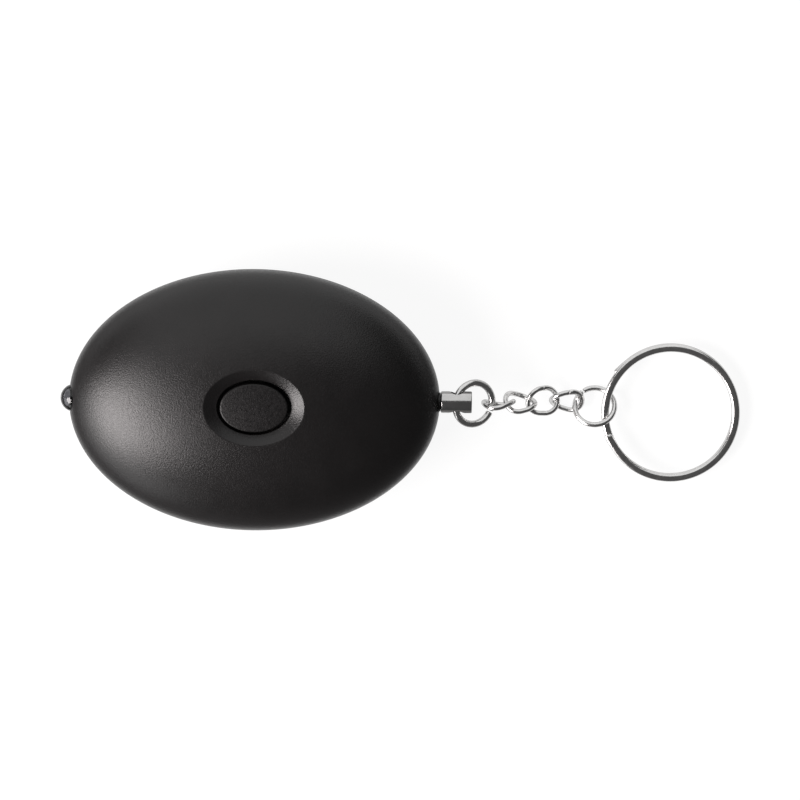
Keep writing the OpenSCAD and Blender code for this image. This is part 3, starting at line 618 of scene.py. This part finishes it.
def curb_link(name, at, lie, grip):
    """A link of round wire, twisted along its length, with the pressed joint of its wire on one side."""
    joint = math.pi * LINK_R / 2 + LINK_SIDE / 2
    joint_half, ahead = 0.12, 0.05
    groove = [(joint + d, share)
              for d, share in ((-0.09, 1.0), (-0.03, 0.93), (0, 0.86), (0.03, 0.93), (0.09, 1.0))]
    lengths = np.linspace(0, LINK_LENGTH, LINK_RINGS, endpoint=False)
    plain = [(t, 1.0) for t in lengths if abs(t - joint) > joint_half]
    rings = []
    for t, share in sorted(plain + groove):
        centre, up = twisted(t)
        along = unit(twisted(t + ahead)[0] - twisted(t - ahead)[0])
        rings.append(wire_ring(centre, along, up, LINK_WIRE / 2 * share))
    verts, faces = loft(rings, closed=True)
    shift = np.array([LINK_C / 2 - grip, 0, 0])
    return piece_from(name, place(verts + shift, at, lie), faces, sharp=60)


def squared_section(half_w, half_t):
    """Points of a flattened wire's cross-section, between an oval and a box."""
    square, count = 0.8, 40
    points = []
    for a in np.linspace(0, 2 * math.pi, count, endpoint=False):
        x, y = (math.copysign(abs(v) ** square, v) for v in (math.cos(a), math.sin(a)))
        points.append((half_w * x, half_t * y))
    return points


def split_coil():
    """Two flat coils that nearly touch, joined by the strand that crosses between them."""
    wire_t = KEY_WIRE_T + (KEY_GAP - KEY_CLOSE) / 2
    low = (wire_t - KEY_WIRE_T) / 2
    high = KEY_WIRE_T + KEY_GAP - low
    section = squared_section(KEY_WIRE_W / 2, wire_t / 2)
    start, end = KEY_CROSS1 - 360, KEY_CROSS0 + 360
    up = np.array([0, 0, 1.0])
    rings = []
    for degrees in np.linspace(start, end, KEY_RINGS):
        fall = eased(min(1.0, max(0.0, (degrees - KEY_CROSS0) / (KEY_CROSS1 - KEY_CROSS0))))
        from_end = min(degrees - start, end - degrees)
        share = 1 - KEY_TAPER * max(0.0, 1 - from_end / KEY_TAPER_TURN) ** 2
        radius = KEY_R + KEY_SPRUNG * max(0.0, 1 - from_end / KEY_SPRUNG_TURN) ** 2
        a = math.radians(degrees)
        out = np.array([math.cos(a), math.sin(a), 0])
        centre = radius * out + (high + (low - high) * fall) * up
        rings.append(np.array([centre + share * (x * out + y * up) for x, y in section]))
    verts, faces = loft(rings)
    return piece_from("split_coil", place(verts, MID_K, LIE_K), faces, sharp=45)


# Materials

def node(tree, kind, **values):
    """A new node with those properties set."""
    made = tree.nodes.new(kind)
    for key, value in values.items():
        setattr(made, key, value)
    return made


def noise(tree, size, detail=4.0, stretch=(1, 1, 1)):
    """Noise whose features are about size millimetres across, fixed to the piece."""
    place_at = node(tree, "ShaderNodeTexCoord")
    mapping = node(tree, "ShaderNodeMapping")
    mapping.inputs["Scale"].default_value = stretch
    texture = node(tree, "ShaderNodeTexNoise")
    texture.inputs["Scale"].default_value = 1 / (size * MM)
    texture.inputs["Detail"].default_value = detail
    texture.inputs["Roughness"].default_value = 0.55
    tree.links.new(place_at.outputs["Object"], mapping.inputs["Vector"])
    tree.links.new(mapping.outputs["Vector"], texture.inputs["Vector"])
    return texture.outputs["Fac"]


def spread(tree, value, low, high, start=0.3, end=0.7):
    """The value from start to end, spread over low to high."""
    ranged = node(tree, "ShaderNodeMapRange")
    ranged.inputs["From Min"].default_value = start
    ranged.inputs["From Max"].default_value = end
    ranged.inputs["To Min"].default_value = low
    ranged.inputs["To Max"].default_value = high
    tree.links.new(value, ranged.inputs["Value"])
    return ranged.outputs["Result"]


# The Mix node's sockets for colours
MIX_SHARE, MIX_FIRST, MIX_SECOND, MIX_RESULT = 0, 6, 7, 2


def material(name, colour, rough, metallic=0.0, tint=0.12, tint_size=2.0, grain=0.3, grain_depth=0.02,
             grain_strength=0.3, stretch=(1, 1, 1), rough_size=0.8, shine=0.5, edge=1.0):
    """A surface with uneven colour and gloss and a fine grain, all sized in millimetres."""
    made = bpy.data.materials.new(name)
    made.use_nodes = True
    tree = made.node_tree
    shader = tree.nodes["Principled BSDF"]
    shader.inputs["Metallic"].default_value = metallic
    shader.inputs["Specular IOR Level"].default_value = shine
    shader.inputs["Specular Tint"].default_value = (edge, edge, edge, 1)
    mix = node(tree, "ShaderNodeMix", data_type="RGBA")
    mix.inputs[MIX_FIRST].default_value = tuple(c * (1 - tint) for c in colour) + (1,)
    mix.inputs[MIX_SECOND].default_value = tuple(min(1, c * (1 + tint)) for c in colour) + (1,)
    tree.links.new(spread(tree, noise(tree, tint_size), 0, 1), mix.inputs[MIX_SHARE])
    tree.links.new(mix.outputs[MIX_RESULT], shader.inputs["Base Color"])
    tree.links.new(spread(tree, noise(tree, rough_size, stretch=stretch), *rough), shader.inputs["Roughness"])
    bump = node(tree, "ShaderNodeBump")
    bump.inputs["Strength"].default_value = grain_strength
    bump.inputs["Distance"].default_value = grain_depth * MM
    tree.links.new(noise(tree, grain, detail=3.0, stretch=stretch), bump.inputs["Height"])
    tree.links.new(bump.outputs["Normal"], shader.inputs["Normal"])
    return made


def metal(name, colour, rough, tint, tint_size, grain, grain_depth, grain_strength=0.3, **more):
    return material(name, colour, rough, 1.0, tint, tint_size, grain, grain_depth, grain_strength, **more)


def shade_tinted_resin(name):
    """Clear resin tinted dark as painted shade, for the case's dark inside seen through the lens, with small
    flow marks.
    """
    made = material(name, (0.1, 0.1, 0.11), (0.05, 0.1), tint=0.1, grain=1.4, grain_depth=0.01,
                    grain_strength=0.15)
    shader = made.node_tree.nodes["Principled BSDF"]
    shader.inputs["Transmission Weight"].default_value = 1.0
    shader.inputs["IOR"].default_value = 1.5
    return made


case_black = material("case_black", (0.0076, 0.0069, 0.007), (0.29, 0.37), tint=0.15, tint_size=5, grain=0.26,
                      grain_depth=0.08, grain_strength=0.6, rough_size=0.5, shine=0.42)
button_black = material("button_black", (0.0072, 0.0066, 0.0067), (0.34, 0.46), tint=0.35, tint_size=0.5,
                        grain=0.3, grain_depth=0.1, grain_strength=0.6, rough_size=0.5, shine=0.3)
# The lamp's dark tint is painted shade, standing in for the case's dark inside seen through a clear lens
lamp_smoke = shade_tinted_resin("lamp_smoke")
CHROME, PIN_CHROME, CHROME_EDGE = (0.68, 0.675, 0.67), (0.53, 0.525, 0.52), 0.6
pin_chrome = metal("pin_chrome", PIN_CHROME, (0.1, 0.2), 0.06, 1.5, 0.25, 0.004, stretch=(0.08, 1, 1),
                   edge=CHROME_EDGE)
ring_chrome = metal("ring_chrome", CHROME, (0.16, 0.26), 0.08, 1.0, 0.3, 0.006, 0.35, edge=CHROME_EDGE)
chain_chrome = metal("chain_chrome", CHROME, (0.16, 0.26), 0.08, 0.9, 0.3, 0.006, 0.35, edge=CHROME_EDGE)
key_chrome = metal("key_ring_chrome", CHROME, (0.16, 0.25), 0.06, 2.0, 0.35, 0.004, edge=CHROME_EDGE)
screw_steel = metal("screw_steel", (0.42, 0.42, 0.43), (0.22, 0.36), 0.12, 0.8, 0.2, 0.006, 0.4)
switch_black = material("switch_black", (0.02, 0.02, 0.02), (0.45, 0.6), grain=0.2)
plunger_white = material("plunger_white", (0.7, 0.69, 0.64), (0.35, 0.5), tint=0.05, grain=0.2)
tinned_wire = metal("tinned_wire", (0.6, 0.6, 0.61), (0.25, 0.4), 0.1, 0.6, 0.2, 0.02)
board_green = material("board_green", (0.02, 0.12, 0.045), (0.3, 0.42), tint=0.35, tint_size=1.6, grain=0.25)
chip_black = material("chip_black", (0.018, 0.018, 0.019), (0.5, 0.65), grain=0.1)
chip_tan = material("chip_tan", (0.55, 0.43, 0.24), (0.35, 0.5), tint=0.1, tint_size=0.6, grain=0.15)
ferrite = material("ferrite", (0.035, 0.035, 0.038), (0.45, 0.6), grain=0.25)
copper = metal("copper", (0.55, 0.2, 0.06), (0.25, 0.4), 0.15, 0.5, 0.16, 0.03, 0.6, stretch=(1, 1, 8))
cell_steel = metal("cell_steel", (0.58, 0.585, 0.6), (0.2, 0.34), 0.06, 2.0, 0.2, 0.004)
contact_nickel = metal("contact_nickel", (0.6, 0.58, 0.54), (0.25, 0.4), 0.08, 1.0, 0.2, 0.004)
contact_brass = metal("contact_brass", (0.62, 0.44, 0.16), (0.25, 0.4), 0.1, 1.0, 0.2, 0.004)
sounder_brass = metal("sounder_brass", (0.6, 0.42, 0.15), (0.25, 0.4), 0.12, 2.5, 0.25, 0.004)
sounder_white = material("sounder_white", (0.72, 0.7, 0.62), (0.4, 0.55), tint=0.06, grain=0.2)
lead_red = material("lead_red", (0.38, 0.02, 0.02), (0.4, 0.5), grain=0.2)
lead_black = material("lead_black", (0.02, 0.02, 0.02), (0.4, 0.5), grain=0.2)


def dress(piece, body, finish, slot, *nodes):
    """Gives the piece its material and body, and the solids that it stands for."""
    piece.data.materials.clear()
    piece.data.materials.append(finish)
    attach(piece, body)
    if nodes:
        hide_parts(*nodes)


# Pieces that stand for the solids
dress(front_case(), "housing", case_black, "case_black", "front_shell")
dress(rear_case(), "housing", case_black, "case_black", "rear_shell")
dress(cross_screws(), "housing", screw_steel, "screw_steel", "case_screws")
dress(button_cap(), "button", button_black, "button_black", "light_button")
dress(lamp_lens(), "housing", lamp_smoke, "lamp_smoke", "lamp")
dress(lamp_frame(), "housing", tinned_wire, "tinned_wire")
dress(turned_pin(), "pin", pin_chrome, "pin_chrome", "pull_pin")
dress(pin_collar(), "housing", case_black, "case_black")
ring_a = jump_ring("wire_ring_a", RING_A_R, RING_A_WIRE, RING_A_MOUTH, AT_A, LIE_A, RING_A_R - RING_A_SET)
dress(ring_a, "pin_ring", ring_chrome, "ring_chrome", "pin_ring")
for n, (at, lie, grip) in enumerate(LINKS, 1):
    link = curb_link(f"curb_link_{n}", at, lie, grip)
    dress(link, f"link_{n}", chain_chrome, "chain_chrome", f"chain_link_{n}")
ring_b = jump_ring("wire_ring_b", RING_B_R, RING_B_WIRE, RING_B_MOUTH, MID_B, LIE_B, 0)
dress(ring_b, "end_ring", ring_chrome, "ring_chrome", "end_ring")
dress(split_coil(), "key_ring", key_chrome, "key_ring_chrome", "split_key_ring")

# Solids that stay, inside the case
INSIDE = {
    "switch_body": switch_black, "switch_plunger": plunger_white, "lamp_legs": tinned_wire,
    "circuit_board": board_green, "board_screws": screw_steel, "driver_chip": chip_black,
    "drive_transistor": chip_black, "coil_core": ferrite, "coil_winding": copper, "chip_parts": chip_tan,
    "battery_cell_1": cell_steel, "battery_cell_2": cell_steel, "battery_cell_3": cell_steel,
    "battery_plate": contact_nickel, "battery_leaf": contact_nickel, "sounder_plate": sounder_brass,
    "sounder_ceramic": sounder_white, "sounder_lead_a": lead_red, "sounder_lead_b": lead_black,
    "pin_socket": switch_black, "fixed_contact": contact_brass, "contact_leaf": contact_brass,
}
for name, finish in INSIDE.items():
    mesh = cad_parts[name].data
    mesh.materials.clear()
    mesh.materials.append(finish)


# Studio

def joined(tree, operation, first, second):
    """A Math node on an output and another output or a number."""
    made = node(tree, "ShaderNodeMath", operation=operation)
    tree.links.new(first, made.inputs[0])
    if isinstance(second, float):
        made.inputs[1].default_value = second
    else:
        tree.links.new(second, made.inputs[1])
    return made.outputs[0]


def shown_rays(tree, behind):
    """1 for what the camera and clear pieces see directly and for near reflections.

    Far reflections get less, a painted shade that darkens the floor as the shiny pieces see it, unless the
    floor is behind the object there.
    """
    path = node(tree, "ShaderNodeLightPath")
    fade = spread(tree, path.outputs["Ray Length"], 1.0, FAR_SHARE, FADE_IN * MM, FADE_OUT * MM)
    mirrored = joined(tree, "MULTIPLY", path.outputs["Is Glossy Ray"], joined(tree, "MAXIMUM", fade, behind))
    direct = joined(tree, "MAXIMUM", path.outputs["Is Camera Ray"], path.outputs["Is Transmission Ray"])
    return joined(tree, "MAXIMUM", direct, mirrored)


def one_sided(tree, shader):
    """Lets the surface be looked through from its back."""
    side = node(tree, "ShaderNodeNewGeometry")
    clear = node(tree, "ShaderNodeBsdfTransparent")
    either = node(tree, "ShaderNodeMixShader")
    tree.links.new(side.outputs["Backfacing"], either.inputs[0])
    tree.links.new(shader.outputs[0], either.inputs[1])
    tree.links.new(clear.outputs[0], either.inputs[2])
    tree.links.new(either.outputs[0], tree.nodes["Material Output"].inputs["Surface"])


def floor_material():
    """Mostly a white glow, with a little of the lamps' light, so that the object's shadow is faint."""
    made = bpy.data.materials.new("floor_white")
    made.use_nodes = True
    tree = made.node_tree
    shader = tree.nodes["Principled BSDF"]
    shader.inputs["Base Color"].default_value = (FLOOR_COLOUR, FLOOR_COLOUR, FLOOR_COLOUR, 1)
    shader.inputs["Roughness"].default_value = 0.9
    shader.inputs["Specular IOR Level"].default_value = 0.0
    shader.inputs["Emission Color"].default_value = (1, 1, 1, 1)
    place_at = node(tree, "ShaderNodeTexCoord")
    parts = node(tree, "ShaderNodeSeparateXYZ")
    tree.links.new(place_at.outputs["Object"], parts.inputs[0])
    # Painted shade: the floor's glow in far reflections is dimmed, except on the floor behind the object
    behind = spread(tree, parts.outputs["Y"], 0.0, 1.0, BACK_IN * MM, BACK_OUT * MM)
    glow = joined(tree, "MULTIPLY", shown_rays(tree, behind), FLOOR_GLOW)
    tree.links.new(glow, shader.inputs["Emission Strength"])
    one_sided(tree, shader)
    return made


def white_floor():
    """A white sheet just below the object."""
    size = FLOOR_HALF
    mesh = bpy.data.meshes.new("floor")
    ends = [(-size, -size, 0), (size, -size, 0), (size, size, 0), (-size, size, 0)]
    mesh.from_pydata(ends, [], [(0, 1, 2, 3)])
    mesh.materials.append(floor_material())
    floor = bpy.data.objects.new("floor", mesh)
    floor.location = (TARGET.x, TARGET.y, -FLOOR_GAP * MM)
    bpy.context.scene.collection.objects.link(floor)


def studio_world():
    """A dim room."""
    world = bpy.data.worlds.new("studio")
    bpy.context.scene.world = world
    world.use_nodes = True
    back = world.node_tree.nodes["Background"]
    back.inputs["Color"].default_value = (1, 1, 1, 1)
    back.inputs["Strength"].default_value = AROUND


def soft_panel(name, direction, distance, size, radiance, colour=(1, 1, 1)):
    """A soft panel that faces the alarm from that direction, in metres, with that brightness."""
    width, height = size
    light = bpy.data.lights.new(name, "AREA")
    light.shape = "RECTANGLE"
    light.size, light.size_y = width, height
    light.energy = radiance * math.pi * width * height
    light.color = colour
    panel = bpy.data.objects.new(name, light)
    way = Vector(direction).normalized()
    panel.location = TARGET + way * distance
    panel.rotation_euler = way.to_track_quat("Z", "Y").to_euler()
    bpy.context.scene.collection.objects.link(panel)


def photo_camera():
    """A long lens from nearly straight above, tilted and rolled as in the photo."""
    data = bpy.data.cameras.new("camera")
    data.sensor_width = SENSOR
    data.lens = SENSOR * CAMERA_DISTANCE / VIEW_WIDTH
    camera = bpy.data.objects.new("camera", data)
    bpy.context.scene.collection.objects.link(camera)
    right = Vector((1, 0, 0))
    away = Vector((0, math.sin(CAMERA_TILT), math.cos(CAMERA_TILT)))
    level = Matrix((right, away.cross(right), away)).transposed()
    camera.location = TARGET + away * CAMERA_DISTANCE
    camera.rotation_euler = (level @ Matrix.Rotation(CAMERA_ROLL, 3, "Z")).to_euler()
    bpy.context.scene.camera = camera


white_floor()
studio_world()
soft_panel("softbox_left", (-0.735, -0.255, 0.625), distance=0.6, size=(0.42, 0.33), radiance=13.8,
           colour=SOFTBOX_TINT)
soft_panel("card_left", (-0.82, -0.52, 0.2), distance=0.5, size=(0.6, 0.3), radiance=2.0)
soft_panel("panel_back", (-0.1, 0.825, 0.557), distance=0.8, size=(1.3, 1.1), radiance=0.9)
photo_camera()

bpy.context.scene.view_settings.view_transform = "Standard"
